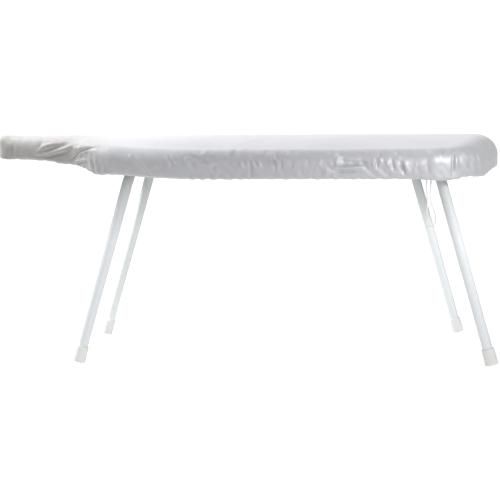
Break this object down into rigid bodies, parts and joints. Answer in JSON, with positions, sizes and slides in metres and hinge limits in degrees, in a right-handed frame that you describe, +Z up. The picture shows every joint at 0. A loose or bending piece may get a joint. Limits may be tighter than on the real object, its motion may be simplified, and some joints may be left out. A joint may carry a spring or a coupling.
{
  "type": "table ironing board",
  "caption": "Low body-shaped ironing board with an arched padded top, silver drawstring cover and folding tube leg frames with plastic feet.",
  "frame": {"origin": "on the floor under the middle of the board", "axes": "+X along the board towards its tail, -X towards its narrow nose, +Y across to the back, +Z up"},
  "size_m": [0.786, 0.368, 0.345],
  "materials": {
    "silver_cotton": "aluminium-coated cotton, soft metallic sheen",
    "felt": "needled polyester felt",
    "enamelled_sheet": "white baked enamel on pressed steel",
    "white_tube": "white powder coat on bent steel tube",
    "zinc_sheet": "bright zinc plate",
    "screw_steel": "bright zinc plate",
    "nylon": "natural nylon",
    "cap_plastic": "off-white moulded polyethylene",
    "white_cord": "white braided cotton cord"
  },
  "bodies": {
    "board": {"cover": "silver_cotton", "felt_pad": "felt", "steel_top": "enamelled_sheet", "rim_band": "enamelled_sheet", "pivot_rail_left": "zinc_sheet", "pivot_rail_right": "zinc_sheet", "centre_rib": "zinc_sheet", "nose_rib": "zinc_sheet", "hem_drawstring": "white_cord", "drawstring_loop": "white_cord", "pivot_screws_left": "screw_steel", "pivot_block_left_front": "nylon", "pivot_clamp_left_front": "zinc_sheet", "leg_stop_left_front": "zinc_sheet", "pivot_block_left_back": "nylon", "pivot_clamp_left_back": "zinc_sheet", "leg_stop_left_back": "zinc_sheet", "pivot_screws_right": "screw_steel", "pivot_block_right_front": "nylon", "pivot_clamp_right_front": "zinc_sheet", "leg_stop_right_front": "zinc_sheet", "pivot_block_right_back": "nylon", "pivot_clamp_right_back": "zinc_sheet", "leg_stop_right_back": "zinc_sheet"},
    "left_legs": {"leg_frame_left": "white_tube", "foot_cap_left_front": "cap_plastic", "foot_cap_left_back": "cap_plastic"},
    "right_legs": {"leg_frame_right": "white_tube", "foot_cap_right_front": "cap_plastic", "foot_cap_right_back": "cap_plastic"}
  },
  "joints": [
    {"name": "left_legs_fold", "type": "hinge", "parent": "board", "child": "left_legs", "pos_m": [-0.169, 0, 0.296], "axis": [0, -1, 0], "range_deg": [0, 106]},
    {"name": "right_legs_fold", "type": "hinge", "parent": "board", "child": "right_legs", "pos_m": [0.281, 0, 0.296], "axis": [0, 1, 0], "range_deg": [0, 106]}
  ]
}
